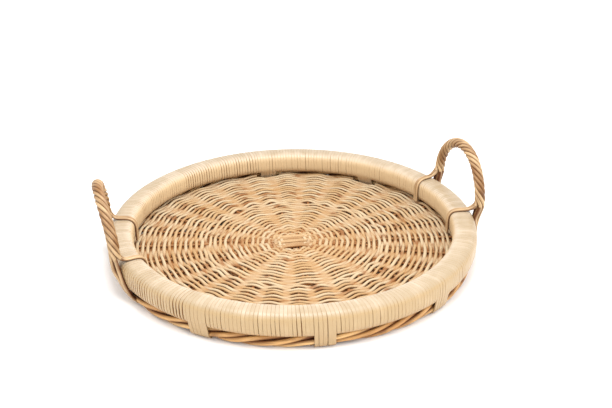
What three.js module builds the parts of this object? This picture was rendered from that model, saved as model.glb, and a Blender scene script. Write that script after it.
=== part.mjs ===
// Round rattan tray basket: a woven floor on crossed stakes, a twisted foot
// border, a pole rim wrapped in peel cane, and two fixed rope handles.
// Millimetres, +Z up, origin on the ground under the middle of the basket,
// +X to the right and -Y towards the front, where the camera stood.
import * as THREE from 'three';

// Clearances between pieces that touch on the real basket
const FIT_GAP = 0.3;
const LASH_GAP = 0.45;
const TWIST_GAP = 0.8;
const ROPE_GAP = 0.95;

// Peel cane strip that wraps the rim and lashes it to the border
const PEEL_THICKNESS = 1.2;
const LASH_STRIP_WIDTH = 3.4;
const LASH_STRIP_GAP = 0.55;
const LASH_TURNS = 5;
const LASH_ANGLES = [-117.8, -82, -43, 60, 100.5];

// Rim: a bent pole hoop under its wrap, measured over the wrap
const RIM_OUTER_RADIUS = 200;
const RIM_WIDTH = 26;
const RIM_HEIGHT = 25.7;
const RIM_SQUARENESS = 4;
const RIM_SECTION_POINTS = 12;
const RIM_FACETS = 48;

// Foot border: rods twisted together under the rim
const BORDER_RODS = 4;
const BORDER_ROD_DIAMETER = 4.4;
const BORDER_OUTSET = 2.5;
const BORDER_TWISTS = 9;
const BORDER_STEPS_PER_TWIST = 7;

// Woven floor: crossed stakes that open from pairs to singles, and weavers
const STAKE_DIAMETER = 3.2;
const STAKES_ALONG = 4;
const STAKES_ACROSS = 3;
const CROSS_ANGLE = 8.96;
const FLOOR_LIFT = 0.76;
const HUB_RADIUS = 24;
const OPENING_RADIUS = 98;
const OPENING_LENGTH = 20;
const FLOOR_TUCK = 3;
const WEAVER_THICKNESS = 2.6;
const WEAVER_GAP = 0.4;
const INNER_WEAVERS = 6;
const OUTER_WEAVERS = 6;

// Handles: strands twisted round a core rod, arching over the rim's outer edge
const HANDLE_SPAN = 101;
const HANDLE_FORK_RISE = 6.5;
const HANDLE_CORE_DIAMETER = 4.0;
const HANDLE_STRANDS = 6;
const HANDLE_STRAND_DIAMETER = 3.4;
const HANDLE_TURNS = 3.5;
const HANDLE_STEPS = 23;
const HANDLE_FOOT = 3.5;
const HANDLE_DRIFT = 15;
const RIGHT_HANDLE_ANGLE = 17.6;
const RIGHT_HANDLE_OUTSET = 7.5;
const RIGHT_HANDLE_LEAN = 2.5;
const RIGHT_HANDLE_HEIGHT = 103;
const LEFT_HANDLE_ANGLE = 194.5;
const LEFT_HANDLE_OUTSET = 4;
const LEFT_HANDLE_LEAN = 8;
const LEFT_HANDLE_HEIGHT = 107;

const ROD_SIDES = 5;
const STAKE_SIDES = 4;

// Sizes that follow from the ones above
const FULL_TURN = 2 * Math.PI;
const rimRadius = RIM_OUTER_RADIUS - RIM_WIDTH / 2;
const twistRadius = (BORDER_ROD_DIAMETER + TWIST_GAP) / (2 * Math.sin(Math.PI / BORDER_RODS));
const borderHalf = twistRadius + BORDER_ROD_DIAMETER / 2;
const borderRadius = rimRadius + BORDER_OUTSET;
const borderHeight = PEEL_THICKNESS + LASH_GAP + borderHalf;
const rimHeight = borderHeight + borderHalf + FIT_GAP + RIM_HEIGHT / 2;
const rimTop = rimHeight + RIM_HEIGHT / 2;
const strandRadius = HANDLE_CORE_DIAMETER / 2 + HANDLE_STRAND_DIAMETER / 2 + ROPE_GAP;
const ropeHalf = strandRadius + HANDLE_STRAND_DIAMETER / 2;
const forkHeight = rimTop + HANDLE_FORK_RISE;
const floorRadius = RIM_OUTER_RADIUS - RIM_WIDTH + FLOOR_TUCK;
const floorMiddle = borderHeight + FLOOR_LIFT;
const floorTop = floorMiddle + STAKE_DIAMETER / 2 + FIT_GAP + WEAVER_THICKNESS;

const straw = { pale: 0xe6cfa2, wrap: 0xdcc193, weave: 0xcfa571, dark: 0xbd8a50, core: 0xc79a63 };

const basket = new THREE.Group();
basket.name = 'round_rattan_basket';

function cane(color, roughness) {
  return new THREE.MeshStandardMaterial({ color, roughness, metalness: 0 });
}

function addPiece(name, geometry, color, roughness = 0.6) {
  const piece = new THREE.Mesh(geometry, cane(color, roughness));
  piece.name = name;
  basket.add(piece);
}

function radians(degrees) {
  return THREE.MathUtils.degToRad(degrees);
}

function polar(radius, angle, height) {
  return new THREE.Vector3(radius * Math.cos(angle), radius * Math.sin(angle), height);
}

// A route through given points, walked point by point instead of by length
class Route extends THREE.Curve {
  constructor(points) {
    super();
    this.points = points;
  }

  getPoint(t, target = new THREE.Vector3()) {
    const place = t * (this.points.length - 1);
    const index = Math.min(Math.floor(place), this.points.length - 2);
    return target.copy(this.points[index]).lerp(this.points[index + 1], place - index);
  }

  getPointAt(t, target) {
    return this.getPoint(t, target);
  }

  getTangentAt(t, target = new THREE.Vector3()) {
    const half = 0.5 / (this.points.length - 1);
    const before = this.getPoint(Math.max(0, t - half));
    return this.getPoint(Math.min(1, t + half), target).sub(before).normalize();
  }
}

function roundSection(diameter, sides) {
  const corners = [];
  for (let i = 0; i < sides; i += 1) {
    const turn = (FULL_TURN * i) / sides;
    corners.push(new THREE.Vector2(Math.cos(turn), Math.sin(turn)).multiplyScalar(diameter / 2));
  }
  return new THREE.Shape(corners);
}

function rod(points, diameter, sides = ROD_SIDES) {
  const options = { steps: points.length - 1, extrudePath: new Route(points), bevelEnabled: false };
  return new THREE.ExtrudeGeometry(roundSection(diameter, sides), options);
}

// Joins rings of equal point count into one skin, closed on itself or capped
function joinRings(rings, closed) {
  const count = rings[0].length;
  const positions = rings.flat().flatMap((point) => [point.x, point.y, point.z]);
  const index = [];
  const spans = closed ? rings.length : rings.length - 1;
  for (let i = 0; i < spans; i += 1) {
    const here = i * count;
    const next = ((i + 1) % rings.length) * count;
    for (let j = 0; j < count; j += 1) {
      const k = (j + 1) % count;
      index.push(here + j, here + k, next + k, here + j, next + k, next + j);
    }
  }
  if (!closed) {
    const last = (rings.length - 1) * count;
    for (let j = 1; j < count - 1; j += 1) {
      index.push(0, j + 1, j, last, last + j, last + j + 1);
    }
  }
  const geometry = new THREE.BufferGeometry();
  geometry.setAttribute('position', new THREE.Float32BufferAttribute(positions, 3));
  geometry.setIndex(index);
  return geometry;
}

// Corners of the rim's rounded square section, shrunk on all sides by an inset
function rimOutline(inset) {
  const corners = [];
  for (let i = 0; i < RIM_SECTION_POINTS; i += 1) {
    const turn = (FULL_TURN * (i + 0.5)) / RIM_SECTION_POINTS;
    const across = Math.abs(Math.cos(turn));
    const up = Math.abs(Math.sin(turn));
    const reach = (across ** RIM_SQUARENESS + up ** RIM_SQUARENESS) ** (-1 / RIM_SQUARENESS);
    const x = (RIM_WIDTH / 2 - inset) * reach * Math.cos(turn);
    const y = (RIM_HEIGHT / 2 - inset) * reach * Math.sin(turn);
    corners.push(new THREE.Vector2(x, y));
  }
  return corners;
}

// Angles of the hoop's corners from one place to another, both ends included
function arcAngles(start, end) {
  const step = 360 / RIM_FACETS;
  const angles = [start];
  for (let corner = Math.floor(start / step) + 1; corner * step < end; corner += 1) {
    angles.push(corner * step);
  }
  return [...angles, end];
}

// A point on the hoop's flat facets, so that nested pieces keep their clearance
function onFacet(radius, angle, height) {
  const half = Math.PI / RIM_FACETS;
  const fromMiddle = THREE.MathUtils.euclideanModulo(angle, 2 * half) - half;
  return polar((radius * Math.cos(half)) / Math.cos(fromMiddle), angle, height);
}

// The rim's section standing at one angle round the hoop
function rimRing(angle, inset) {
  const turn = radians(angle);
  const corners = rimOutline(inset).reverse();
  return corners.map((corner) => onFacet(rimRadius + corner.x, turn, rimHeight + corner.y));
}

const wrapInset = PEEL_THICKNESS;
const coreInset = PEEL_THICKNESS + LASH_GAP;
const lashPitch = LASH_STRIP_WIDTH + LASH_STRIP_GAP;
const lashAngle = THREE.MathUtils.radToDeg(((LASH_TURNS + 1) * lashPitch) / rimRadius);

// Rim hoop: one bent pole whose ends meet under the front lashing
function makeRimCore() {
  const halfJoint = THREE.MathUtils.radToDeg(FIT_GAP / rimRadius);
  const start = LASH_ANGLES[1] + halfJoint;
  const rings = arcAngles(start, start + 360 - 2 * halfJoint).map((angle) => rimRing(angle, coreInset));
  addPiece('rim_core', joinRings(rings, false), straw.core);
}

// Rim wraps: close turns of peel cane between one lashing and the next
function makeRimWraps() {
  const margin = lashAngle / 2 + THREE.MathUtils.radToDeg(FIT_GAP / rimRadius);
  LASH_ANGLES.forEach((angle, i) => {
    const last = i === LASH_ANGLES.length - 1;
    const next = last ? LASH_ANGLES[0] + 360 : LASH_ANGLES[i + 1];
    const angles = arcAngles(angle + margin, next - margin);
    const outside = angles.map((place) => rimRing(place, 0));
    const inside = angles.map((place) => rimRing(place, wrapInset)).reverse();
    addPiece(`rim_wrap_${i + 1}`, joinRings([...outside, ...inside], true), straw.wrap, 0.45);
  });
}

// Outer hull of points in a plane, counter-clockwise
function hull(points) {
  const sorted = [...points].sort((a, b) => a.x - b.x || a.y - b.y);
  const side = (list) => {
    const chain = [];
    for (const point of list) {
      while (chain.length > 1) {
        const [a, b] = chain.slice(-2);
        const turn = (b.x - a.x) * (point.y - a.y) - (b.y - a.y) * (point.x - a.x);
        if (turn > 1e-6) break;
        chain.pop();
      }
      chain.push(point);
    }
    return chain.slice(0, -1);
  };
  return [...side(sorted), ...side(sorted.reverse())];
}

// Corners of a closed outline moved out square to its sides
function moveOut(outline, distance) {
  return outline.map((corner, i) => {
    const before = outline.at(i - 1);
    const after = outline[(i + 1) % outline.length];
    const arriving = new THREE.Vector2(corner.y - before.y, before.x - corner.x).normalize();
    const leaving = new THREE.Vector2(after.y - corner.y, corner.x - after.x).normalize();
    const mitre = arriving.clone().add(leaving);
    mitre.multiplyScalar(distance / (1 + arriving.dot(leaving)));
    return corner.clone().add(mitre);
  });
}

// The line that a lashing hugs: over the rim hoop and under the foot border,
// with a level run at the bottom for the basket to stand on
function lashOutline() {
  const overRim = moveOut(rimOutline(coreInset), LASH_GAP);
  const rim = overRim.map((corner) => new THREE.Vector2(rimRadius + corner.x, rimHeight + corner.y));
  const border = [];
  const sides = 8;
  const reach = (borderHalf + LASH_GAP) / Math.cos(Math.PI / sides);
  for (let i = 0; i < sides; i += 1) {
    const turn = (FULL_TURN * (i + 0.5)) / sides;
    border.push(new THREE.Vector2(
      borderRadius + reach * Math.cos(turn),
      borderHeight + reach * Math.sin(turn),
    ));
  }
  return hull([...rim, ...border]);
}

// Least distance between one turn of a winding and the next, on its corners
function leastTurnGap(rings, stepsPerTurn) {
  let least = Infinity;
  rings.forEach((ring, i) => {
    for (let j = i + stepsPerTurn - 1; j < Math.min(rings.length, i + stepsPerTurn + 2); j += 1) {
      for (const here of ring) {
        for (const there of rings[j]) {
          least = Math.min(least, here.distanceTo(there));
        }
      }
    }
  });
  return least;
}

// Lashings: one strip each, wound side by side round the hoop and the border
function makeLashings() {
  const inner = lashOutline();
  const outer = moveOut(inner, PEEL_THICKNESS);
  const lowest = inner.reduce((low, corner, i) => (corner.y < inner[low].y ? i : low), 0);
  const stepsPerTurn = inner.length;
  const halfStrip = LASH_STRIP_WIDTH / 2 / rimRadius;
  const pitch = lashPitch / rimRadius;
  LASH_ANGLES.forEach((angle, number) => {
    const rings = [];
    const firstStep = lowest + Math.round(stepsPerTurn / 2);
    for (let step = 0; step <= LASH_TURNS * stepsPerTurn; step += 1) {
      const corner = (firstStep + step) % stepsPerTurn;
      const middle = radians(angle) + pitch * (step / stepsPerTurn - LASH_TURNS / 2);
      rings.push([
        onFacet(inner[corner].x, middle - halfStrip, inner[corner].y),
        onFacet(outer[corner].x, middle - halfStrip, outer[corner].y),
        onFacet(outer[corner].x, middle + halfStrip, outer[corner].y),
        onFacet(inner[corner].x, middle + halfStrip, inner[corner].y),
      ]);
    }
    const gap = leastTurnGap(rings, stepsPerTurn);
    console.log(`lashing_${number + 1}: least gap between turns ${gap.toFixed(2)} mm`);
    addPiece(`lashing_${number + 1}`, joinRings(rings, false), straw.pale, 0.45);
  });
}

// Foot border: rods twisted together, their ends meeting under a lashing
function makeBorder() {
  const steps = BORDER_TWISTS * BORDER_STEPS_PER_TWIST;
  const joint = (2 * FIT_GAP) / borderRadius;
  for (let number = 0; number < BORDER_RODS; number += 1) {
    const points = [];
    for (let i = 0; i <= steps; i += 1) {
      const share = i / steps;
      const angle = radians(LASH_ANGLES[1]) + joint / 2 + share * (FULL_TURN - joint);
      const turn = FULL_TURN * (share * BORDER_TWISTS + number / BORDER_RODS);
      const radius = borderRadius + twistRadius * Math.cos(turn);
      points.push(polar(radius, angle, borderHeight + twistRadius * Math.sin(turn)));
    }
    addPiece(`border_rod_${number + 1}`, rod(points, BORDER_ROD_DIAMETER), straw.dark);
  }
}

const pairHalf = (STAKE_DIAMETER + FIT_GAP) / 2;
const pairCount = 2 * (STAKES_ALONG + STAKES_ACROSS);
const pairAngle = FULL_TURN / pairCount;
const stakeAngle = pairAngle / 2;
const stakeEnd = borderRadius - borderHalf - FIT_GAP;

// One half of a stake, from the middle of the cross out to the border.
// The stake leaves the cross beside its partner and swings to its own ray.
function stakeHalf(offset, ray, hand, level) {
  const side = hand * pairHalf;
  const onPair = (distance, height) => new THREE.Vector3(
    distance * Math.cos(ray) - side * Math.sin(ray),
    distance * Math.sin(ray) + side * Math.cos(ray),
    height,
  );
  const straight = Math.abs(ray) < 1e-6;
  const bend = straight ? HUB_RADIUS / 2 : (offset + side * (1 - Math.cos(ray))) / Math.sin(ray);
  const ownRay = ray + hand * stakeAngle / 2;
  return [
    onPair(bend, floorMiddle + level),
    onPair(HUB_RADIUS - FIT_GAP, floorMiddle),
    onPair(OPENING_RADIUS - OPENING_LENGTH, floorMiddle),
    polar(OPENING_RADIUS, ownRay, floorMiddle),
    polar(stakeEnd, ownRay, floorMiddle),
  ];
}

// Stakes: two layers of paired rods that cross in the middle of the floor
function makeStakes() {
  const layers = [
    { name: 'stake_along', pairs: STAKES_ALONG, turn: radians(CROSS_ANGLE), lift: 1 },
    { name: 'stake_across', pairs: STAKES_ACROSS, turn: radians(CROSS_ANGLE) + Math.PI / 2, lift: -1 },
  ];
  for (const layer of layers) {
    const level = layer.lift * pairHalf;
    for (let pair = 0; pair < layer.pairs; pair += 1) {
      const place = pair - (layer.pairs - 1) / 2;
      for (const hand of [-1, 1]) {
        const out = stakeHalf(place * 4 * pairHalf, place * pairAngle, hand, level);
        const back = out.map((point) => new THREE.Vector3(-point.x, point.y, point.z));
        const points = [...back.reverse(), ...out];
        points.forEach((point) => point.applyAxisAngle(new THREE.Vector3(0, 0, 1), layer.turn));
        const number = 2 * pair + (hand > 0 ? 2 : 1);
        addPiece(`${layer.name}_${number}`, rod(points, STAKE_DIAMETER, STAKE_SIDES), straw.weave);
      }
    }
  }
}

// Weavers: runs of rows that pass over one stake and under the next.
// Inside the opening circle they cross the stakes in pairs, outside singly.
function makeWeavers() {
  const lift = STAKE_DIAMETER / 2 + FIT_GAP + WEAVER_THICKNESS / 2;
  const stakeCount = 2 * pairCount;
  const zones = [
    { name: 'weaver_inner', runs: INNER_WEAVERS, from: HUB_RADIUS, to: OPENING_RADIUS, stakes: 2 },
    { name: 'weaver_outer', runs: OUTER_WEAVERS, from: OPENING_RADIUS, to: floorRadius, stakes: 1 },
  ];
  for (const zone of zones) {
    const width = (zone.to - zone.from) / zone.runs;
    for (let run = 0; run < zone.runs; run += 1) {
      const inside = zone.from + width * run + WEAVER_GAP / 2;
      const outside = zone.from + width * (run + 1) - WEAVER_GAP / 2;
      const rings = [];
      for (let stake = 0; stake < stakeCount; stake += 1) {
        const angle = radians(CROSS_ANGLE) + stakeAngle * (stake + 0.5);
        const over = (Math.floor(stake / zone.stakes) + run) % 2 === 0;
        const height = floorMiddle + (over ? lift : -lift);
        const low = height - WEAVER_THICKNESS / 2;
        const high = height + WEAVER_THICKNESS / 2;
        rings.push([
          polar(inside, angle, low),
          polar(inside, angle, high),
          polar(outside, angle, high),
          polar(outside, angle, low),
        ]);
      }
      addPiece(`${zone.name}_${run + 1}`, joinRings(rings, true), straw.weave);
    }
  }
}

// Middle line of a handle's rope from fork to fork, in the handle's own frame:
// x along the rim, y outward and z up
function archLine(handle) {
  const half = HANDLE_SPAN / 2;
  const rise = handle.height - ropeHalf - forkHeight;
  const chord = Math.sqrt(handle.legRadius ** 2 - half ** 2);
  return Array.from({ length: HANDLE_STEPS + 1 }, (_, i) => {
    const turn = (Math.PI * i) / HANDLE_STEPS;
    const up = Math.sin(turn);
    return new THREE.Vector3(half * Math.cos(turn), chord + handle.lean * up * up, forkHeight + rise * up);
  });
}

function strandPhase(strand, share) {
  return FULL_TURN * ((strand + 0.5) / HANDLE_STRANDS + share * HANDLE_TURNS);
}

// One strand winding round the rope's middle line
function ropeTurns(line, strand) {
  const outward = new THREE.Vector3(0, 1, 0);
  const route = new Route(line);
  return line.map((point, i) => {
    const share = i / (line.length - 1);
    const phase = strandPhase(strand, share);
    const sideways = new THREE.Vector3().crossVectors(outward, route.getTangentAt(share)).normalize();
    return point.clone()
      .addScaledVector(outward, strandRadius * Math.cos(phase))
      .addScaledVector(sideways, strandRadius * Math.sin(phase));
  });
}

// A strand's end below the fork. The inner strands cross the rim and run down
// its inside to the floor, the others lie flat down the outside to the border,
// drifting towards the basket's front.
function strandEnd(phase, legAngle, hand, frontDrift) {
  const clear = FIT_GAP + HANDLE_STRAND_DIAMETER / 2;
  const place = (radius, height, across, drift = 0) => (
    onFacet(radius, legAngle + (hand * across - drift) / radius, height)
  );
  if (Math.cos(phase) < -0.5) {
    const across = strandRadius * Math.sin(phase);
    const outline = moveOut(rimOutline(0), clear);
    const crossing = outline.filter((corner) => corner.y > 0 && corner.x < RIM_WIDTH / 2 - clear);
    const over = crossing.map((corner) => place(rimRadius + corner.x, rimHeight + corner.y, across));
    const inside = rimRadius - RIM_WIDTH / 2 - clear;
    return [...over, place(inside, rimHeight, across), place(inside, floorTop + clear, across)];
  }
  const pitch = HANDLE_STRAND_DIAMETER + ROPE_GAP;
  const fromOutside = THREE.MathUtils.euclideanModulo(phase + Math.PI, FULL_TURN) - Math.PI;
  const across = (pitch * fromOutside * HANDLE_STRANDS) / FULL_TURN;
  const outside = RIM_OUTER_RADIUS + clear;
  return [
    place(outside, rimHeight + RIM_HEIGHT / 4, across),
    place(outside, rimHeight - RIM_HEIGHT / 4, across, frontDrift / 2),
    place(borderRadius + borderHalf + clear + FIT_GAP, borderHeight, across, frontDrift),
    place(borderRadius + borderHalf + clear, HANDLE_FOOT, across, frontDrift),
  ];
}

// Handles: a core rod and the strands that wind round it and grip the rim
function makeHandles() {
  const handles = [
    {
      side: 'right',
      angle: RIGHT_HANDLE_ANGLE,
      legRadius: RIM_OUTER_RADIUS + RIGHT_HANDLE_OUTSET,
      lean: RIGHT_HANDLE_LEAN,
      height: RIGHT_HANDLE_HEIGHT,
      frontDrift: HANDLE_DRIFT,
    },
    {
      side: 'left',
      angle: LEFT_HANDLE_ANGLE,
      legRadius: RIM_OUTER_RADIUS + LEFT_HANDLE_OUTSET,
      lean: LEFT_HANDLE_LEAN,
      height: LEFT_HANDLE_HEIGHT,
      frontDrift: -HANDLE_DRIFT,
    },
  ];
  for (const handle of handles) {
    const angle = radians(handle.angle);
    const legAngle = Math.asin(HANDLE_SPAN / 2 / handle.legRadius);
    const toRim = new THREE.Matrix4().makeRotationZ(angle - Math.PI / 2);
    const line = archLine(handle);
    const placed = (points) => points.map((point) => point.clone().applyMatrix4(toRim));
    const core = rod(placed(line), HANDLE_CORE_DIAMETER);
    addPiece(`handle_${handle.side}_core`, core, straw.core);
    for (let strand = 0; strand < HANDLE_STRANDS; strand += 1) {
      const start = strandEnd(strandPhase(strand, 0), angle - legAngle, -1, handle.frontDrift);
      const end = strandEnd(strandPhase(strand, 1), angle + legAngle, 1, handle.frontDrift);
      const points = [...start.reverse(), ...placed(ropeTurns(line, strand)), ...end];
      addPiece(`handle_${handle.side}_strand_${strand + 1}`, rod(points, HANDLE_STRAND_DIAMETER), straw.dark);
    }
  }
}

makeRimCore();
makeRimWraps();
makeLashings();
makeBorder();
makeStakes();
makeWeavers();
makeHandles();

export default basket;
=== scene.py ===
import math

import bpy
import numpy as np
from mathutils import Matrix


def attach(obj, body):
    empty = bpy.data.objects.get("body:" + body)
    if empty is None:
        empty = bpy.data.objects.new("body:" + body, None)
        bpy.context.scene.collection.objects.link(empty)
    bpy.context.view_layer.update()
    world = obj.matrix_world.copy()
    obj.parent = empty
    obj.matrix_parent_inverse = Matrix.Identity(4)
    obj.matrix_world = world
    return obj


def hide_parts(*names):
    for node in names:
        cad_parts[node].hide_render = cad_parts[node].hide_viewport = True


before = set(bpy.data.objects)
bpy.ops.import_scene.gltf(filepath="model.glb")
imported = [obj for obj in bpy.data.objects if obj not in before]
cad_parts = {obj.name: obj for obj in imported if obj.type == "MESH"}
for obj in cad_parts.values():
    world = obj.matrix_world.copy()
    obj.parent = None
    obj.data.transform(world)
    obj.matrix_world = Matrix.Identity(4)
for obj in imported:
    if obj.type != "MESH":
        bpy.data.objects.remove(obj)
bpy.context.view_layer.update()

# Floor stakes: round cane rods laid in two layers that cross in the middle of the floor.
# They run out in pairs, open into single rays half way, and end in the border.
# All sizes but the studio's are in millimetres, and Bundle.piece turns them into metres.
MM = 0.001
FULL_TURN = 2 * math.pi
STAKE_DIAMETER = 3.2
STAKE_SIDES = 8
STAKE_STEP = 2.0
STAKE_EASE = 6
STAKE_END = 183.3
PAIRS_ALONG = 4
PAIRS_ACROSS = 3
RAY_PAIRS = 2 * (PAIRS_ALONG + PAIRS_ACROSS)
PAIR_ANGLE = FULL_TURN / RAY_PAIRS
PAIR_HALF = 1.75
PAIR_PITCH = 4 * PAIR_HALF
CROSS_ANGLE = math.radians(8.96)
FLOOR_MIDDLE = 8.29
HUB_RADIUS = 24
HUB_UNEVENNESS = 0.9
OPENING_RADIUS = 98
OPENING_LENGTH = 20
# How far painted shade reaches round a stake from the side it hides, at the hub and out in the weave.
HUB_SHELTER = 0.5
WOVEN_SHELTER = 1.6
GRAIN_REACH = 9000
SHARP_EDGE = math.radians(70)
OFF_LINE = np.array([0, 0.1, 0.2])
chance = np.random.default_rng(7)


def polar(radius, angle, height):
    """Points at a radius and an angle round the basket's middle."""
    return np.stack(np.broadcast_arrays(radius * np.cos(angle), radius * np.sin(angle), height), -1)


def along_line(line):
    """Distance of each point of a line from its start."""
    return np.concatenate([[0], np.cumsum(np.linalg.norm(np.diff(line, axis=0), axis=1))])


def eased_line(points, step, ease):
    """A line through points, cut into even steps and rounded where it bends."""
    points = np.asarray(points, float)
    place = along_line(points)
    marks = np.linspace(0, place[-1], max(2, round(place[-1] / step)) + 1)
    line = np.stack([np.interp(marks, place, points[:, axis]) for axis in range(3)], -1)
    for _ in range(ease):
        line[1:-1] = line[:-2] / 4 + line[1:-1] / 2 + line[2:] / 4
    return line


def unit(vectors):
    """Vectors of length one."""
    return vectors / np.linalg.norm(vectors, axis=-1, keepdims=True)


def across_line(line, closed):
    """Two directions square to a line at each of its points, without a twist along it."""
    ahead = unit(np.roll(line, -1, 0) - np.roll(line, 1, 0) if closed else np.gradient(line, axis=0))
    if closed:
        up = unit(np.array([0, 0, 1]) - ahead * ahead[:, 2:])
    else:
        up = np.zeros_like(ahead)
        last = np.roll(ahead[0], 1) + OFF_LINE
        for i, direction in enumerate(ahead):
            last = unit(last - direction * last.dot(direction))
            up[i] = last
    return up, np.cross(ahead, up)


class Bundle:
    """Lengths of cane gathered into one piece."""

    def __init__(self):
        self.corners = []
        self.faces = []
        self.grain = []
        self.tone = []
        self.hollow = []
        self.count = 0

    def skin(self, rings, grain, tone, hollow, closed=False):
        """Adds a skin over rings of equal point count, closed on itself or capped."""
        lengths, around = rings.shape[:2]
        index = self.count + np.arange(lengths * around).reshape(lengths, around)
        here, there = (index, np.roll(index, -1, 0)) if closed else (index[:-1], index[1:])
        quads = np.stack([here, np.roll(here, -1, 1), np.roll(there, -1, 1), there], -1)
        self.faces += quads.reshape(-1, 4).tolist()
        if not closed:
            self.faces += [index[0, ::-1].tolist(), index[-1].tolist()]
        self.corners.append(rings.reshape(-1, 3))
        self.grain.append(grain.reshape(-1, 3))
        self.tone.append(np.broadcast_to(tone, rings.shape[:2]).ravel())
        self.hollow.append(np.broadcast_to(hollow, rings.shape[:2]).ravel())
        self.count += lengths * around

    def rod(self, line, diameter, sides, open_side, shelter, closed=False, width=1.0, depth=1.0):
        """Adds a rod along a line, round or pressed to a greater width, with a tone of its own.
        The more it faces away from its open side, the more painted shade it carries, for the shade in the
        hollows between rods."""
        up, beside = across_line(line, closed)
        turn = np.linspace(0, FULL_TURN, sides, endpoint=False)[:, None]
        round_it = up[:, None] * np.cos(turn) + (
            beside[:, None] * np.sin(turn) * np.reshape(width, (-1, 1, 1)))
        half = np.broadcast_to(np.asarray(diameter) / 2, len(line))[:, None, None]
        grain = np.zeros((len(line), sides, 3))
        grain[..., :2] = half * np.concatenate([np.cos(turn), np.sin(turn)], 1)
        grain[..., 2] = along_line(line)[:, None] + chance.uniform(0, GRAIN_REACH)
        facing = (round_it * np.reshape(open_side, (-1, 1, 3))).sum(-1)
        hollow = np.clip(shelter - facing, 0, 1)
        tone = chance.random() * np.reshape(depth, (-1, 1))
        self.skin(line[:, None] + round_it * half, grain, tone, hollow, closed)

    def piece(self, name, finish, slot, *nodes):
        """Makes the piece that stands for these nodes."""
        mesh = bpy.data.meshes.new(name)
        mesh.from_pydata((np.concatenate(self.corners) * MM).tolist(), [], self.faces)
        grain = mesh.attributes.new("grain", "FLOAT_VECTOR", "POINT")
        grain.data.foreach_set("vector", (np.concatenate(self.grain) * MM).ravel().astype(np.float32))
        for mark, values in (("tone", self.tone), ("hollow", self.hollow)):
            marks = mesh.attributes.new(mark, "FLOAT", "POINT")
            marks.data.foreach_set("value", np.concatenate(values).astype(np.float32))
        mesh.shade_smooth()
        mesh.set_sharp_from_angle(angle=SHARP_EDGE)
        mesh.materials.append(finish.material)
        made = bpy.data.objects.new(name, mesh)
        bpy.context.scene.collection.objects.link(made)
        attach(made, "root")
        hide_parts(*nodes)


class Wire:
    """A shader value that Python's own operators work on."""

    def __init__(self, finish, socket):
        self.finish = finish
        self.socket = socket

    def __add__(self, other):
        return self.finish.node("ShaderNodeMath", {"operation": "ADD"}, {0: self, 1: other})

    def __mul__(self, other):
        return self.finish.node("ShaderNodeMath", {"operation": "MULTIPLY"}, {0: self, 1: other})

    __radd__ = __add__
    __rmul__ = __mul__


# The sockets of a Mix node that carry colours go by number.
MIX_FACTOR, MIX_FIRST, MIX_SECOND, MIX_COLOUR = 0, 6, 7, 2


class Finish:
    """A material whose nodes are added one call at a time."""

    def __init__(self, name):
        self.material = bpy.data.materials.new(name)
        self.material.use_nodes = True
        self.tree = self.material.node_tree
        self.shader = self.tree.nodes["Principled BSDF"]

    def plug(self, node, inputs):
        """Links wires to a node's sockets, or sets the sockets' own values."""
        for name, value in inputs.items():
            if isinstance(value, Wire):
                self.tree.links.new(value.socket, node.inputs[name])
            else:
                node.inputs[name].default_value = value

    def node(self, kind, settings, inputs, output=0):
        """Adds a node with its settings, and plugs its sockets."""
        made = self.tree.nodes.new(kind)
        for name, value in settings.items():
            setattr(made, name, value)
        self.plug(made, inputs)
        return Wire(self, made.outputs[output])

    def mix(self, factor, first, second, blend="MIX"):
        """A colour between two, by a factor."""
        return self.node("ShaderNodeMix", {"data_type": "RGBA", "blend_type": blend},
                         {MIX_FACTOR: factor, MIX_FIRST: first, MIX_SECOND: second}, MIX_COLOUR)

    def mark(self, name, output):
        """A value that the mesh carries on its points."""
        return self.node("ShaderNodeAttribute", {"attribute_name": name}, {}, output)

    def noise(self, place, across, along, detail=2.0):
        """Noise on the grain, with its own size across a strand and along it."""
        drawn = self.node("ShaderNodeVectorMath", {"operation": "MULTIPLY"},
                          {0: place, 1: (1 / (across * MM), 1 / (across * MM), 1 / (along * MM))})
        return self.node("ShaderNodeTexNoise", {}, {"Vector": drawn, "Scale": 1.0, "Detail": detail})

    def between(self, value, low, high):
        """Nought at low, one at high, eased between them."""
        return self.node("ShaderNodeMapRange", {"interpolation_type": "SMOOTHSTEP"},
                         {"Value": value, "From Min": low, "From Max": high})


BRIGHTNESS = 1.3
SCREEN_LIFT = 0.055
SCREEN_POWER = 2.4


def tint(red, green, blue):
    """A colour from its red, green and blue as the studio's bright light shows them on a screen."""
    parts = [value / 255 for value in (red, green, blue)]
    return (*(((p + SCREEN_LIFT) / (1 + SCREEN_LIFT)) ** SCREEN_POWER / BRIGHTNESS for p in parts), 1.0)


DRIFT_SIZE = (9, 60)
PATCH_SIZE = 21
TONE_SHARE, DRIFT_SHARE, PATCH_SHARE = 0.4, 0.5, 0.7
TONE_BAND = (0.52, 1.12)
STAIN_SIZE = (14, 34)
STAIN_DETAIL = 3.0
STAIN_TONE_SHARE = 0.08
STAIN_BAND = (0.72, 0.84)
STAIN_STRENGTH = 0.85
FIBRE_LENGTH = 14
FIBRE_DETAIL = 4.0
FIBRE_BAND = (0.45, 0.75)
FIBRE_RELIEF = 0.4
FIBRE_DULLNESS = 0.22
FLECK_SIZE = (1.1, 3.2)
FLECK_BAND = (0.70, 0.80)
FLECK_STRENGTH = 0.45
# Painted highlight on the top: how far a surface must face up to get it, and the paler, cooler tint it is
# multiplied by.
PAINTED_TOP_BAND = (0.3, 0.95)
PAINTED_TOP_TINT = (0.84, 0.945, 1.24, 1.0)
# Colour of the painted shade that darkens hollows, seams and undersides.
HOLLOW_SHADE_TINT = tint(152, 84, 22)
HOLLOW_DULLNESS = 0.3
COAT_ROUGHNESS = 0.28


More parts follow.
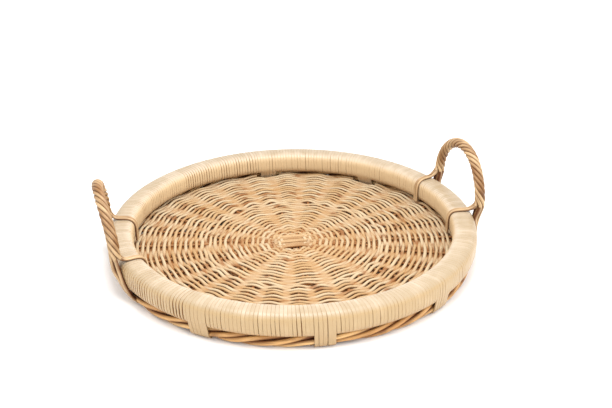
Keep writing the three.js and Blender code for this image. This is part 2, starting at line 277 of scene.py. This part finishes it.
def cane_finish(name, pale, deep, stain, stain_share, roughness, fibre_across=0.35, fibre_depth=0.16,
                fibre_tint=0.34, hollow_shade=0.75, hollow_shade_tint=HOLLOW_SHADE_TINT, coat=0.0, painted_top_light=0.0, sheen=0.42):
    """Bare cane: a tone for each strand, stains along it, fine fibres, a painted highlight on the top,
    and painted shade in the hollows."""
    finish = Finish(name)
    place = finish.mark("grain", "Vector")
    tone = finish.mark("tone", "Fac")
    drift = finish.noise(place, *DRIFT_SIZE)
    fibres = finish.noise(place, fibre_across, FIBRE_LENGTH, FIBRE_DETAIL)
    flecks = finish.noise(place, *FLECK_SIZE)
    stains = finish.noise(place, *STAIN_SIZE, STAIN_DETAIL)
    in_basket = finish.node("ShaderNodeTexCoord", {}, {}, "Object")
    patches = finish.node("ShaderNodeTexNoise", {}, {"Vector": in_basket, "Scale": 1 / (PATCH_SIZE * MM)})
    deepness = tone * TONE_SHARE + drift * DRIFT_SHARE + patches * PATCH_SHARE
    body = finish.mix(finish.between(deepness, *TONE_BAND), pale, deep)
    stained = finish.between(stains + tone * STAIN_TONE_SHARE, *(edge - stain_share for edge in STAIN_BAND))
    body = finish.mix(stained * STAIN_STRENGTH, body, stain)
    body = finish.mix(finish.between(fibres, *FIBRE_BAND) * fibre_tint, body, stain)
    body = finish.mix(finish.between(flecks, *FLECK_BAND) * FLECK_STRENGTH, body, stain)
    # Painted highlight: surfaces that face up are paled and cooled, as light from above shows them.
    if painted_top_light:
        facing = finish.node("ShaderNodeNewGeometry", {}, {}, "Normal")
        upright = finish.node("ShaderNodeSeparateXYZ", {}, {0: facing}, "Z")
        body = finish.mix(finish.between(upright, *PAINTED_TOP_BAND) * painted_top_light, body, PAINTED_TOP_TINT, "MULTIPLY")
    # Painted shade: the hollow mark darkens the colour towards the shade tint, for the shade between and
    # under strands.
    hollow = finish.mark("hollow", "Fac")
    body = finish.mix(hollow * hollow_shade, body, hollow_shade_tint)
    bump = finish.node("ShaderNodeBump", {},
                       {"Strength": fibre_depth, "Distance": FIBRE_RELIEF * MM, "Height": fibres})
    finish.plug(finish.shader, {
        "Base Color": body,
        "Roughness": roughness + fibres * FIBRE_DULLNESS + hollow * HOLLOW_DULLNESS,
        "Normal": bump,
        "Specular IOR Level": sheen,
        "Coat Weight": coat,
        "Coat Roughness": COAT_ROUGHNESS,
    })
    return finish


stake_finish = cane_finish("stake_cane", tint(206, 170, 122), tint(176, 132, 84), tint(128, 80, 42),
                           stain_share=0.08, roughness=0.46)


def stake_line(place, hand, turn, lift):
    """One stake from end to end: beside its partner in the cross, then out on its own ray."""
    ray = place * PAIR_ANGLE
    own_ray = ray + hand * PAIR_ANGLE / 4
    side = hand * PAIR_HALF
    beside = np.array([-math.sin(ray), math.cos(ray)]) * side
    bend = HUB_RADIUS / 2
    if place:
        bend = (place * PAIR_PITCH + side * (1 - math.cos(ray))) / math.sin(ray)
    hub_level = lift * PAIR_HALF + chance.uniform(-HUB_UNEVENNESS, HUB_UNEVENNESS)
    out = []
    for distance, level in ((bend, hub_level), (HUB_RADIUS, 0), (OPENING_RADIUS - OPENING_LENGTH, 0)):
        out.append([distance * math.cos(ray) + beside[0], distance * math.sin(ray) + beside[1], level])
    for distance in (OPENING_RADIUS, STAKE_END):
        out.append([distance * math.cos(own_ray), distance * math.sin(own_ray), 0])
    back = [[-x, y, z] for x, y, z in reversed(out)]
    x, y, z = eased_line(back + out, STAKE_STEP, STAKE_EASE).T
    return np.stack([x * math.cos(turn) - y * math.sin(turn), x * math.sin(turn) + y * math.cos(turn),
                     z + FLOOR_MIDDLE], -1)


for layer, pairs, turn, lift in (("along", PAIRS_ALONG, CROSS_ANGLE, 1),
                                 ("across", PAIRS_ACROSS, CROSS_ANGLE + math.pi / 2, -1)):
    for pair in range(pairs):
        for hand in (-1, 1):
            number = 2 * pair + (2 if hand > 0 else 1)
            line = stake_line(pair - (pairs - 1) / 2, hand, turn, lift)
            woven = np.hypot(line[:, 0], line[:, 1]) > HUB_RADIUS
            shelter = np.where(woven, WOVEN_SHELTER, HUB_SHELTER)[:, None]
            stake = Bundle()
            stake.rod(line, STAKE_DIAMETER, STAKE_SIDES, (0, 0, lift), shelter)
            stake.piece(f"floor_stake_{layer}_{number}", stake_finish, "stake_cane",
                        f"stake_{layer}_{number}")

# Floor weavers: thin round cane worked over one stake and under the next, row by row.
# The rows inside the opening cross the stakes in pairs and those outside one by one.
# The last two rows are tucked under the rim, and each piece holds the rows of one node.
ROW_PITCH = 2.95
FIRST_ROW = 15.9
LAST_ROW = 176.5
TUCKED_ROWS = (178.4, 181.2)
WEAVER_DIAMETER = 2.6
WEAVER_RIPPLE = (0.18, 9)
WEAVER_WIDTH = 1.62
WEAVER_PRESS = 0.24
WEAVER_SPREAD = 0.7
WEAVER_SIDES = 8
PAIRED_POINTS = 16
SINGLE_POINTS = 10
WEAVER_LIFT = 2.5
LIFT_RIPPLE = (0.14, 24)
TIGHT_LIFT = 0.45
CREST_SPACING = 30
CREST_TURN = 2
# Painted shade on a weaver, most where it dips under a stake and on its underside.
WEAVER_SHELTER = 0.24
ROW_SWELL = 0.11
ROW_SWAY = 0.16
SWAY_KEPT = 0.8
SWAY_WAVES = 12
ROW_WANDER = 0.64
WANDER_WAVES = 26
TIGHT_WANDER = 0.4
CROSS_FALL = 7
HUB_SQUEEZE = 2.8
HUB_SPREAD = 34
NODE_RUNS = 6
LASH_ANGLES = np.radians([-117.8, -82, -43, 60, 100.5])
LASH_REACH = math.radians(4.2)
weaver_finish = cane_finish("weaver_cane", tint(213, 191, 156), tint(198, 161, 114), tint(148, 92, 48),
                            stain_share=0.12, roughness=0.46, hollow_shade=0.86, sheen=0.12)


def ripple(angle, size, most_waves):
    """A slow uneven wave round the basket that meets itself."""
    waves = np.arange(1, most_waves + 1)[:, None]
    strength = chance.normal(0, 1, (most_waves, 1)) / np.sqrt(most_waves)
    return size * (strength * np.sin(waves * angle + chance.uniform(0, FULL_TURN, (most_waves, 1)))).sum(0)


def from_lashing(angle):
    """Angle from each place to the nearest lashing."""
    return np.abs((angle[:, None] - LASH_ANGLES + math.pi) % FULL_TURN - math.pi).min(1)


def free_lengths(angle):
    """Runs of places round a row that no lashing covers."""
    free = from_lashing(angle) > LASH_REACH
    order = np.roll(np.arange(len(angle)), -int(np.argmin(free)))
    lengths = np.split(order, np.flatnonzero(np.diff(free[order])) + 1)
    return [length for length in lengths if free[length[0]]]


def weaver_row(radius, row, sway):
    """Angles round one row, its middle line, and its diameter, width and open side from point to point."""
    crossings, points = RAY_PAIRS, PAIRED_POINTS
    if radius >= OPENING_RADIUS:
        crossings, points = 2 * RAY_PAIRS, SINGLE_POINTS
    angle = np.linspace(0, FULL_TURN, crossings * points, endpoint=False) + chance.uniform(0, FULL_TURN)
    swayed = (sway * np.exp(1j * np.arange(1, SWAY_WAVES + 1)[:, None] * angle)).real.sum(0)
    phase = crossings / 2 * (angle - CROSS_ANGLE) - math.pi / 2 + row * math.pi
    sharpness = 1 + FULL_TURN * radius / crossings / CREST_SPACING
    crest = np.sign(np.cos(phase)) * np.abs(np.cos(phase)) ** sharpness
    diameter = WEAVER_DIAMETER * (1 + chance.uniform(-1, 1) * ROW_SWELL) + ripple(angle, *WEAVER_RIPPLE)
    looseness = np.clip(radius / OPENING_RADIUS, 0, 1)
    lift = WEAVER_LIFT * (TIGHT_LIFT + (1 - TIGHT_LIFT) * looseness) * (1 + ripple(angle, *LIFT_RIPPLE))
    near_cross = np.clip((HUB_RADIUS - radius) / CROSS_FALL, 0, 1)
    cross_layer = np.cos(2 * (angle - CROSS_ANGLE)) * near_cross * PAIR_HALF
    height = FLOOR_MIDDLE + cross_layer + crest * lift
    squeeze = HUB_SQUEEZE * max(0, 1 - (radius - FIRST_ROW) / (HUB_SPREAD - FIRST_ROW))
    wander = ripple(angle, ROW_WANDER * (TIGHT_WANDER + (1 - TIGHT_WANDER) * looseness), WANDER_WAVES)
    place = radius + swayed + wander - squeeze * np.cos(angle - CROSS_ANGLE) ** 2
    width = WEAVER_WIDTH - WEAVER_PRESS * np.clip(crest, 0, 1) + WEAVER_SPREAD * np.clip(-crest, 0, 1)
    # The open side turns up where a row rides over a stake and down where it dips under, which sets its
    # painted shade.
    open_side = np.stack([0 * crest, 0 * crest, np.tanh(CREST_TURN * crest)], -1)
    return angle, polar(place, angle, height), diameter, width, open_side


# A row sways from its true circle, and follows most of the sway of the row before.
sway = np.zeros((SWAY_WAVES, 1), complex)
runs = {}
for row, radius in enumerate([*np.arange(FIRST_ROW, LAST_ROW, ROW_PITCH), *TUCKED_ROWS]):
    fresh = chance.normal(0, ROW_SWAY, sway.shape) + 1j * chance.normal(0, ROW_SWAY, sway.shape)
    sway = SWAY_KEPT * sway + (1 - SWAY_KEPT) * fresh
    angle, line, diameter, width, open_side = weaver_row(radius, row, sway)
    zone, start, end = "inner", HUB_RADIUS, OPENING_RADIUS
    if radius >= OPENING_RADIUS:
        zone, start, end = "outer", OPENING_RADIUS, LAST_ROW
    run = min(NODE_RUNS, 1 + max(0, int((radius - start) / (end - start) * NODE_RUNS)))
    rows = runs.setdefault((zone, run), Bundle())
    if radius < LAST_ROW:
        rows.rod(line, diameter, WEAVER_SIDES, open_side, WEAVER_SHELTER, closed=True, width=width)
    else:
        for free in free_lengths(angle):
            rows.rod(line[free], diameter[free], WEAVER_SIDES, open_side[free], WEAVER_SHELTER,
                     width=width[free])
for (zone, run), rows in runs.items():
    rows.piece(f"floor_weavers_{zone}_{run}", weaver_finish, "weaver_cane", f"weaver_{zone}_{run}")

# Foot border: round cane rods twisted together under the rim, over the stakes' ends.
# They hang a little between the lashings, which pull them up against the rim.
BORDER_RADIUS = 189.5
BORDER_HEIGHT = 7.53
BORDER_RODS = 4
BORDER_ROD_DIAMETER = 4.9
BORDER_ROD_RIPPLE = (0.14, 9)
BORDER_TWISTS = 9
BORDER_TWIST_RADIUS = 3.55
LAY_RIPPLE = (0.6, 7)
TURN_RIPPLE = (0.18, 16)
REACH_RIPPLE = (0.15, 12)
BORDER_SAG = 1.0
SAG_EASE = math.radians(7)
BORDER_POINTS = 420
BORDER_SIDES = 12
# Painted shade in the crevices between the twisted rods, with a deeper shade tint of its own.
BORDER_SHELTER = 0.85
border_finish = cane_finish("border_cane", tint(250, 202, 135), tint(216, 158, 90), tint(120, 72, 34),
                            stain_share=0.05, roughness=0.34, fibre_across=0.9, fibre_depth=0.12,
                            fibre_tint=0.5, hollow_shade=0.92, hollow_shade_tint=tint(116, 60, 18))

angle = LASH_ANGLES[1] + np.linspace(0, FULL_TURN, BORDER_POINTS + 1)[:-1]
slack = np.clip((from_lashing(angle) - LASH_REACH) / SAG_EASE, 0, 1)
sag = BORDER_SAG * slack * slack * (3 - 2 * slack)
lay = BORDER_TWISTS * (angle - angle[0]) + ripple(angle, *LAY_RIPPLE)
for number in range(BORDER_RODS):
    turn = lay + FULL_TURN * number / BORDER_RODS + ripple(angle, *TURN_RIPPLE)
    reach = BORDER_TWIST_RADIUS + ripple(angle, *REACH_RIPPLE)
    line = polar(BORDER_RADIUS + reach * np.cos(turn), angle, BORDER_HEIGHT - sag + reach * np.sin(turn))
    diameter = BORDER_ROD_DIAMETER + ripple(angle, *BORDER_ROD_RIPPLE)
    open_side = polar(np.cos(turn), angle, np.sin(turn))
    border = Bundle()
    border.rod(line, diameter, BORDER_SIDES, open_side, BORDER_SHELTER, closed=True)
    border.piece(f"foot_border_rod_{number + 1}", border_finish, "border_cane", f"border_rod_{number + 1}")

# Rim hoop: one bent pole with a rounded square section, hidden under its wrap.
# It shows only where two turns of the wrap part, as tan under painted shade all over, since it lies in
# shade there.
RIM_RADIUS = 187
RIM_WIDTH = 26
RIM_THICKNESS = 25.7
RIM_HEIGHT = 26.55
RIM_INSIDE = RIM_RADIUS - RIM_WIDTH / 2
RIM_OUTSIDE = RIM_RADIUS + RIM_WIDTH / 2
RIM_TOP = RIM_HEIGHT + RIM_THICKNESS / 2
RIM_SQUARENESS = 3.7
FINE_OUTLINE = 2001
HOOP_INSET = 1.65
HOOP_POINTS = 240
HOOP_SIDES = 40
HOOP_TONE = 0.5
hoop_finish = cane_finish("hoop_pole", tint(206, 158, 102), tint(176, 124, 72), tint(128, 80, 42),
                          stain_share=0.05, roughness=0.5)


def even_outline(outline, count):
    """An outline cut into even steps, which way is out at each, and the length round it."""
    place = along_line(outline)
    marks = np.linspace(0, place[-1], count, endpoint=False)
    even = np.stack([np.interp(marks, place, outline[:, axis]) for axis in range(2)], -1)
    ahead = unit(np.roll(even, -1, 0) - np.roll(even, 1, 0))
    return even, np.stack([-ahead[:, 1], ahead[:, 0]], -1), place[-1]


def rim_outline(inset, count):
    """Even outline of the rim's section, as radius and height.
    It starts under the rim, and passes its inside, top and outside."""
    fine = np.linspace(0, FULL_TURN, FINE_OUTLINE) - math.pi / 2
    across, up = np.cos(fine), np.sin(fine)
    reach = (np.abs(across) ** RIM_SQUARENESS + np.abs(up) ** RIM_SQUARENESS) ** (-1 / RIM_SQUARENESS)
    outline = np.stack([RIM_RADIUS - (RIM_WIDTH / 2 - inset) * reach * across,
                        RIM_HEIGHT + (RIM_THICKNESS / 2 - inset) * reach * up], -1)
    return even_outline(outline, count)


section, _, _ = rim_outline(HOOP_INSET, HOOP_SIDES)
angle = np.linspace(0, FULL_TURN, HOOP_POINTS, endpoint=False)[:, None]
rings = polar(section[:, 0], angle, section[:, 1])
grain = np.zeros_like(rings)
grain[..., :2] = section - (RIM_RADIUS, RIM_HEIGHT)
grain[..., 2] = angle * RIM_RADIUS
hoop = Bundle()
# hollow=1 paints shade over the whole hoop.
hoop.skin(rings, grain, tone=HOOP_TONE, hollow=1, closed=True)
hoop.piece("rim_hoop", hoop_finish, "hoop_pole", "rim_core")

# Rim wraps: strips split from the cane's glossy skin, wound round the hoop in close turns.
# The turns lie tight over the top of the rim and part here and there down its sides.
PEEL_THICKNESS = 1.2
WRAP_TURNS_ROUND = 314
WRAP_STEPS = 32
WRAP_CROWN = np.array([(-0.5, 0), (0.5, 0), (0.5, 0.86), (0.43, 1), (0.28, 1), (-0.28, 1), (-0.43, 1),
                       (-0.5, 0.86)])
WRAP_EDGE = np.array([1, 1, 1, 0, 0, 0, 0, 1])
WRAP_SHAKE = 0.05
WRAP_LOOSENESS = (0.4, 0.32, 0.6, 0.6, 4.5)
LOOSE_RUN = 11
LOOSE_RANGE = (0.1, 2.2)
CLOSED_GAP = 0.01
OPEN_GAP = 0.055
WIDEST_GAP = 0.34
TOP_GAP_SHARE = 0.22
INNER_GAP_SHARE = 0.42
GAP_DROP = 11
# Painted shade: the gap that darkens a seam fully, the least shade every seam gets, and the shade under the
# rim.
DARK_GAP = 0.2
SEAM_SHADE = 0.33
UNDER_SHADE = 0.7
PEEL_TONES = (0.58, 1.05)
# Painted light paling the rim's inside, and painted shade deepening its outside.
INNER_PAINTED_LIGHT = 1.4
OUTER_PAINTED_SHADE = 0.5
LASH_TURNS = 5
LASH_PITCH = 3.95 / RIM_RADIUS
PEEL_LOOKS = {"pale": tint(228, 199, 156), "deep": tint(199, 168, 121), "stain_share": -0.03,
              "roughness": 0.3, "fibre_across": 0.5, "fibre_depth": 0.06, "fibre_tint": 0.22,
              "hollow_shade": 0.5, "coat": 0.3, "painted_top_light": 0.85}
peel_finish = cane_finish("peel_wrap", stain=tint(178, 132, 86), **PEEL_LOOKS)


def wind(bundle, outline, start, pitch, turns, looseness):
    """Winds one strip round an even outline, turn beside turn, from a start angle."""
    points, normals, length = outline
    count = turns * len(points) + 1
    corner = np.arange(count) % len(points)
    turn = np.arange(count) / len(points)
    place, out = points[corner], normals[corner]
    whole = np.arange(turns + 2)
    shake = np.interp(turn, whole, chance.normal(0, WRAP_SHAKE, turns + 2))
    loose_marks = whole[::LOOSE_RUN]
    loose = np.interp(whole, loose_marks, chance.uniform(*LOOSE_RANGE, len(loose_marks)) * looseness)
    parted = np.clip(CLOSED_GAP + chance.exponential(OPEN_GAP, turns + 2) * loose, 0, WIDEST_GAP)
    low = np.clip((RIM_TOP - place[:, 1]) / GAP_DROP, 0, 1)
    openness = TOP_GAP_SHARE + np.where(out[:, 0] > 0, low, INNER_GAP_SHARE) * np.abs(out[:, 0])
    gap = np.interp(turn, whole, parted) * openness
    # Painted shade along the edges of each turn where the turns part, and on the faces under the rim.
    seam = np.clip(gap / DARK_GAP, SEAM_SHADE, 1)[:, None] * WRAP_EDGE
    hollow = np.maximum(seam, -UNDER_SHADE * out[:, 1:])
    # Each turn has a tone of its own, made paler on the rim's inside as painted light and deeper on its
    # outside as painted shade.
    tones = chance.uniform(*PEEL_TONES, turns + 1)[turn.astype(int)] + (
        OUTER_PAINTED_SHADE * np.clip(out[:, 0], 0, 1) - INNER_PAINTED_LIGHT * np.clip(-out[:, 0], 0, 1))
    middle = start + pitch * (turn + shake * np.abs(out[:, 0]))
    sideways = WRAP_CROWN[:, 0] * pitch * (1 - gap)[:, None]
    crown = WRAP_CROWN[:, 1] * PEEL_THICKNESS
    radius = place[:, :1] + out[:, :1] * crown
    height = place[:, 1:] + out[:, 1:] * crown
    rings = polar(radius, middle[:, None] - sideways, height)
    grain = np.zeros_like(rings)
    grain[..., 0] = WRAP_CROWN[:, 0] * pitch * RIM_RADIUS
    grain[..., 2] = turn[:, None] * length + chance.uniform(0, GRAIN_REACH)
    bundle.skin(rings, grain, tones[:, None], hollow)


wrap_outline = rim_outline(PEEL_THICKNESS, WRAP_STEPS)
lash_half = LASH_PITCH * LASH_TURNS / 2
for number, lash in enumerate(LASH_ANGLES):
    stretch = (np.roll(LASH_ANGLES, -1)[number] - lash) % FULL_TURN - 2 * lash_half
    turns = round(stretch / FULL_TURN * WRAP_TURNS_ROUND)
    wrap = Bundle()
    wind(wrap, wrap_outline, lash + lash_half, stretch / turns, turns, WRAP_LOOSENESS[number])
    wrap.piece(f"rim_peel_{number + 1}", peel_finish, "peel_wrap", f"rim_wrap_{number + 1}")

# Lashings: the same peel strip taken over the rim and under the foot border.
# Five turns side by side hold the two together, and the basket stands on them.
LASH_STEPS = 48
LASH_LOOSENESS = 0.3
FOOT_HALF = 6.33
HULL_POINTS = 400
NO_BEND = 1e-9
lashing_finish = cane_finish("peel_lashing", stain=tint(178, 134, 88), **PEEL_LOOKS)


def outer_hull(points):
    """Outer hull of points in a plane, clockwise from the lowest."""
    ordered = points[np.lexsort((points[:, 1], points[:, 0]))]
    corners = []
    for one_way in (ordered, ordered[::-1]):
        chain = []
        for point in one_way:
            while len(chain) > 1:
                first, second = chain[-1] - chain[-2], point - chain[-2]
                if first[0] * second[1] - first[1] * second[0] > NO_BEND:
                    break
                chain.pop()
            chain.append(point)
        corners += chain[:-1]
    hull = np.array(corners)[::-1]
    return np.roll(hull, -int(hull[:, 1].argmin()), 0)


fine_rim, _, _ = rim_outline(PEEL_THICKNESS, HULL_POINTS)
turn = np.linspace(0, FULL_TURN, HULL_POINTS, endpoint=False)
foot = np.stack([BORDER_RADIUS + FOOT_HALF * np.cos(turn), BORDER_HEIGHT + FOOT_HALF * np.sin(turn)], -1)
hull = outer_hull(np.concatenate([fine_rim, foot]))
lash_outline = even_outline(np.concatenate([hull, hull[:1]]), LASH_STEPS)
for number, lash in enumerate(LASH_ANGLES):
    lashing = Bundle()
    wind(lashing, lash_outline, lash - lash_half, LASH_PITCH, LASH_TURNS, LASH_LOOSENESS)
    lashing.piece(f"peel_lashing_{number + 1}", lashing_finish, "peel_lashing", f"lashing_{number + 1}")

# Handles: round cane strands twisted round a core rod into a rope that arches over the rim's edge.
# At each leg two strands cross the rim and run down its inside to the floor.
# The other four go down its outside, drift to the front and tuck under the foot border.
HANDLE_SPAN = 101
FORK_HEIGHT = 45.9
ROPE_HALF = 6.35
ROPE_STRANDS = 6
ROPE_TURNS = 3.5
ROPE_POINTS = 90
CORE_DIAMETER = 4.0
STRAND_DIAMETER = 3.95
STRAND_UNEVENNESS = 0.12
STRAND_RADIUS = 4.3
STRAND_PITCH = 4.35
STRAND_SIDES = 12
STRAND_STEP = 1.6
STRAND_EASE = 10
# Painted shade in the crevices between strands, a little less where they leave the rope below the fork.
STRAND_SHELTER = 0.85
FORK_SHELTER = 0.75
# Below the fork the strands are paler, painted light against the shade that falls there.
FORK_TONE = 0.45
FORK_LENGTH = 15
CROSSING_SIDE = -0.5
CROSSING_DIAMETER = 3.1
CROSSING_PITCH = 3.3
CROSSING_POINTS = 80
CROSSING_EDGE = 1.5 * CROSSING_DIAMETER
THINNING_LENGTH = 5
FLOOR_TOP = 12.8
LEG_OUT = 0.6
LEG_SWELL = 4.6
LEG_GATHER = 0.6
LEG_HEIGHT = RIM_HEIGHT + RIM_THICKNESS / 6
DRIFT_HEIGHT = RIM_HEIGHT - RIM_THICKNESS / 4
END_DRIFT = 1.2
END_HEIGHT = 3.2
# Each handle: its side, angle, radius at the legs, lean, height and the drift of its ends.
HANDLES = (("right", math.radians(17.6), 207.5, 2.5, 103, 15),
           ("left", math.radians(194.5), 204, 8, 107, -15))
rope_finish = cane_finish("rope_cane", tint(222, 188, 142), tint(156, 112, 66), tint(104, 62, 31),
                          stain_share=0.04, roughness=0.36, fibre_across=1.1, fibre_depth=0.14,
                          fibre_tint=0.6, hollow_shade=1.0, hollow_shade_tint=tint(104, 54, 14))
core_finish = cane_finish("handle_core", tint(200, 150, 94), tint(172, 120, 70), tint(122, 76, 40),
                          stain_share=0.03, roughness=0.5)


def strand_end(phase, leg_angle, hand, front_drift):
    """Points of a strand below the fork, down the inside of the rim or forward down its outside."""
    if math.cos(phase) < CROSSING_SIDE:
        clear = CROSSING_DIAMETER / 2
        across = hand * CROSSING_PITCH * math.sin(phase)
        outline, _, _ = rim_outline(-clear, CROSSING_POINTS)
        over = [p for p in outline[::-1] if p[1] > RIM_HEIGHT and p[0] < RIM_OUTSIDE - CROSSING_EDGE]
        down = [(RIM_INSIDE - clear, RIM_HEIGHT), (RIM_INSIDE - clear, FLOOR_TOP + clear)]
        route = [(*p, across) for p in over + down]
    else:
        clear = STRAND_DIAMETER / 2
        from_outside = (phase + math.pi) % FULL_TURN - math.pi
        across = hand * STRAND_PITCH * from_outside * ROPE_STRANDS / FULL_TURN
        outside = RIM_OUTSIDE + clear
        route = [
            (outside + LEG_OUT + LEG_SWELL * math.cos(phase), LEG_HEIGHT, across * LEG_GATHER),
            (outside, DRIFT_HEIGHT, across - front_drift / 2),
            (BORDER_RADIUS + FOOT_HALF + clear, BORDER_HEIGHT, across - front_drift),
            (BORDER_RADIUS + FOOT_HALF / 2, END_HEIGHT, across - front_drift * END_DRIFT),
        ]
    return [polar(radius, leg_angle + sideways / radius, height) for radius, height, sideways in route]


for side, handle_angle, leg_radius, lean, height, front_drift in HANDLES:
    half = HANDLE_SPAN / 2
    leg = math.asin(half / leg_radius)
    rise = height - ROPE_HALF - FORK_HEIGHT
    chord = math.sqrt(leg_radius**2 - half**2)
    outward = np.array([math.cos(handle_angle), math.sin(handle_angle), 0])
    along_rim = np.array([outward[1], -outward[0], 0])
    turn = np.linspace(0, math.pi, ROPE_POINTS)
    up = np.sin(turn)[:, None]
    arch = (along_rim * half * np.cos(turn)[:, None] + outward * (chord + lean * up * up)
            + np.array([0, 0, 1]) * (FORK_HEIGHT + rise * up))
    first_foot, last_foot = (polar(RIM_OUTSIDE + CORE_DIAMETER / 2, handle_angle + reach, RIM_HEIGHT)
                             for reach in (-leg, leg))
    core_line = eased_line([first_foot, *arch, last_foot], STRAND_STEP, STRAND_EASE)
    core = Bundle()
    core.rod(core_line, CORE_DIAMETER, STRAND_SIDES, -outward, STRAND_SHELTER)
    core.piece(f"rope_core_{side}", core_finish, "handle_core", f"handle_{side}_core")
    sideways = unit(np.cross(outward, np.gradient(arch, axis=0)))
    for number in range(ROPE_STRANDS):
        phase = FULL_TURN * ((number + 0.5) / ROPE_STRANDS + ROPE_TURNS * np.linspace(0, 1, ROPE_POINTS))
        wound = arch + STRAND_RADIUS * (
            outward * np.cos(phase)[:, None] + sideways * np.sin(phase)[:, None])
        start = strand_end(phase[0], handle_angle - leg, -1, front_drift)
        end = strand_end(phase[-1], handle_angle + leg, 1, front_drift)
        line = eased_line([*start[::-1], *wound, *end], STRAND_STEP, STRAND_EASE)
        in_rope = np.clip((line[:, 2] - FORK_HEIGHT) / FORK_LENGTH, 0, 1)
        nearest = arch[np.linalg.norm(line[:, None] - arch, axis=2).argmin(1)]
        hoop_middle = polar(RIM_RADIUS, np.arctan2(line[:, 1], line[:, 0]), RIM_HEIGHT)
        open_side = unit(line - np.where(in_rope[:, None] > 0, nearest, hoop_middle))
        thinned = np.clip((RIM_OUTSIDE - np.hypot(line[:, 0], line[:, 1])) / THINNING_LENGTH, 0, 1)
        diameter = STRAND_DIAMETER - (STRAND_DIAMETER - CROSSING_DIAMETER) * thinned + (
            chance.uniform(-STRAND_UNEVENNESS, STRAND_UNEVENNESS))
        # Painted shade between the strands, a little less below the fork.
        shelter = STRAND_SHELTER * (FORK_SHELTER + (1 - FORK_SHELTER) * in_rope[:, None])
        # Painted light: a lower tone below the fork makes the strands paler there.
        depth = FORK_TONE + (1 - FORK_TONE) * in_rope
        strand = Bundle()
        strand.rod(line, diameter, STRAND_SIDES, open_side, shelter, depth=depth)
        strand.piece(f"rope_strand_{side}_{number + 1}", rope_finish, "rope_cane",
                     f"handle_{side}_strand_{number + 1}")

# Studio: a plain pale floor, soft light from above and the right, and the photographer's camera.
# The camera stands in front of the basket and looks down on it. Sizes are in metres here.
FLOOR_SIZE = 12
FLOOR_SHADES = (0.94, 0.96)
FLOOR_MOTTLE = 3.0
FLOOR_ROUGHNESS = 0.9
SKY_STRENGTH = 1.235
SUN_STRENGTH = 0.91
SUN_SPREAD = math.radians(60)
SUN_PLACE = (1.2, -0.5, 1.2)
SOFTBOX_POWER = 3.12
SOFTBOX_SIZE = 0.4
SOFTBOX_PLACE = (0.0, -0.16, 0.55)
TARGET = np.array([0, 0, 0.02398])
TARGET_PIXEL = (293.333, 229.608)
CAMERA_DISTANCE = 1.04967
CAMERA_ELEVATION = math.radians(27.679)
CAMERA_ROLL = -0.010206
PICTURE = (612, 408)
FOCAL_PIXELS = 948.91
SENSOR_MM = 36
floor_finish = Finish("studio_floor")
floor_mottle = floor_finish.node("ShaderNodeTexNoise", {}, {"Scale": FLOOR_MOTTLE})
floor_colour = floor_finish.mix(floor_mottle, *((shade, shade, shade, 1.0) for shade in FLOOR_SHADES))
floor_finish.plug(floor_finish.shader, {"Base Color": floor_colour, "Roughness": FLOOR_ROUGHNESS})
floor_mesh = bpy.data.meshes.new("studio_floor")
reach = FLOOR_SIZE / 2
floor_mesh.from_pydata([(-reach, -reach, 0), (reach, -reach, 0), (reach, reach, 0), (-reach, reach, 0)], [],
                       [(0, 1, 2, 3)])
floor_mesh.materials.append(floor_finish.material)
floor = bpy.data.objects.new("studio_floor", floor_mesh)
bpy.context.scene.collection.objects.link(floor)

world = bpy.data.worlds.new("studio_sky")
world.use_nodes = True
world.node_tree.nodes["Background"].inputs["Color"].default_value = (1, 1, 1, 1)
world.node_tree.nodes["Background"].inputs["Strength"].default_value = SKY_STRENGTH
bpy.context.scene.world = world
bpy.context.scene.view_settings.view_transform = "Standard"


def look_at(place, target, roll=0.0):
    """Axes of a camera or light at a place: right, up and back."""
    back = unit(np.asarray(place, float) - target)
    right = unit(np.cross([0, 0, 1], back))
    up = np.cross(back, right)
    rolled_right = right * math.cos(roll) + up * math.sin(roll)
    rolled_up = up * math.cos(roll) - right * math.sin(roll)
    return np.stack([rolled_right, rolled_up, back], 1)


def stand(thing, place, axes):
    """Puts a camera or light at a place with these axes."""
    made = bpy.data.objects.new(thing.name, thing)
    matrix = np.eye(4)
    matrix[:3, :3] = axes
    matrix[:3, 3] = place
    made.matrix_world = matrix.T.tolist()
    bpy.context.scene.collection.objects.link(made)
    return made


sun = bpy.data.lights.new("soft_light", "SUN")
sun.energy = SUN_STRENGTH
sun.angle = SUN_SPREAD
stand(sun, SUN_PLACE, look_at(SUN_PLACE, TARGET))
softbox = bpy.data.lights.new("softbox", "AREA")
softbox.energy = SOFTBOX_POWER
softbox.size = SOFTBOX_SIZE
stand(softbox, SOFTBOX_PLACE, look_at(SOFTBOX_PLACE, TARGET))

eye = TARGET + CAMERA_DISTANCE * np.array([0, -math.cos(CAMERA_ELEVATION), math.sin(CAMERA_ELEVATION)])
offset = (TARGET_PIXEL[0] - PICTURE[0] / 2) / FOCAL_PIXELS
yaw = math.atan2(offset, 1)
pitch = math.atan2((PICTURE[1] / 2 - TARGET_PIXEL[1]) / FOCAL_PIXELS, math.hypot(1, offset))
turn_yaw = np.array([[math.cos(yaw), 0, -math.sin(yaw)], [0, 1, 0], [math.sin(yaw), 0, math.cos(yaw)]])
turn_pitch = np.array([[1, 0, 0], [0, math.cos(pitch), -math.sin(pitch)],
                       [0, math.sin(pitch), math.cos(pitch)]])
lens = bpy.data.cameras.new("camera")
lens.sensor_width = SENSOR_MM
lens.lens = FOCAL_PIXELS / PICTURE[0] * SENSOR_MM
axes = look_at(eye, TARGET, CAMERA_ROLL) @ (turn_yaw @ turn_pitch).T
bpy.context.scene.camera = stand(lens, eye, axes)
